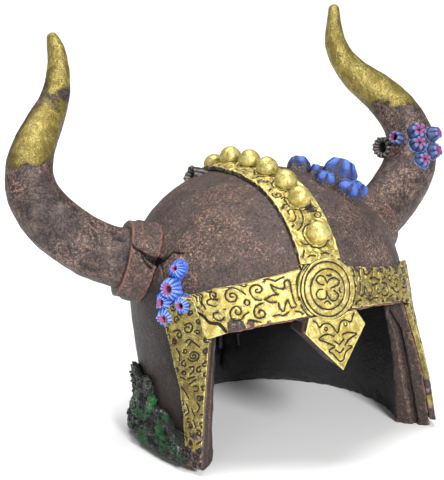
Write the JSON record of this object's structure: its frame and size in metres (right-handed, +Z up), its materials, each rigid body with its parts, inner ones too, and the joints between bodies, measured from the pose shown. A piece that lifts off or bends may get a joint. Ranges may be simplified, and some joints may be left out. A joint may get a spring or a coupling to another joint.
{
  "type": "aquarium bubbling ornament",
  "caption": "Aquarium ornament shaped as a weathered horned helmet with gilt bands, studs, corals and moss, and an air line inside that lets bubbles out at the crown",
  "frame": {"origin": "centre of the bounding box in plan at the flat underside of the rim; z = 0 is the plane it rests on", "axes": "+Z up, face opening towards -Y, wearer's left side towards +X"},
  "size_m": [0.184, 0.1151, 0.146],
  "materials": {
    "aged_iron": "painted resin, dark brown with copper dry-brushing",
    "horn": "painted resin, dark brown, worn gold towards the tip",
    "gilt": "gold painted resin, dark wash in the engraving",
    "coral": "painted resin, blue with pink and purple mouths",
    "barnacle": "painted resin, dark grey",
    "moss": "painted and flocked resin, dark green and black",
    "fitting": "black moulded plastic",
    "hose": "dark silicone"
  },
  "bodies": {
    "root": {"helmet_shell": "aged_iron", "horn_collar_left": "aged_iron", "horn_collar_right": "aged_iron", "horn_left": "horn", "horn_right": "horn", "brow_medallion": "gilt", "brow_band_left": "gilt", "brow_band_right": "gilt", "nasal_plate": "gilt", "cheek_trim_left": "gilt", "cheek_trim_right": "gilt", "crest_band": "gilt", "crest_stud_1": "gilt", "crest_stud_2": "gilt", "crest_stud_3": "gilt", "crest_stud_4": "gilt", "crest_stud_5": "gilt", "crest_stud_6": "gilt", "crest_stud_7": "gilt", "crest_stud_8": "gilt", "crest_stud_9": "gilt", "temple_polyp_1": "coral", "temple_polyp_2": "coral", "temple_polyp_3": "coral", "temple_polyp_4": "coral", "temple_polyp_5": "coral", "crown_coral_1": "coral", "crown_coral_2": "coral", "crown_coral_3": "coral", "crown_coral_4": "coral", "crown_coral_5": "coral", "crown_coral_6": "coral", "horn_polyp_1": "coral", "horn_polyp_2": "coral", "horn_polyp_3": "coral", "horn_polyp_4": "coral", "horn_polyp_5": "coral", "horn_sponge": "coral", "crest_barnacle": "barnacle", "horn_barnacle": "barnacle", "moss_clump_1": "moss", "moss_clump_2": "moss", "moss_clump_3": "moss", "air_inlet": "fitting", "air_nozzle": "fitting", "tube_clip_1": "fitting", "tube_clip_2": "fitting", "air_tube": "hose"}
  },
  "joints": []
}
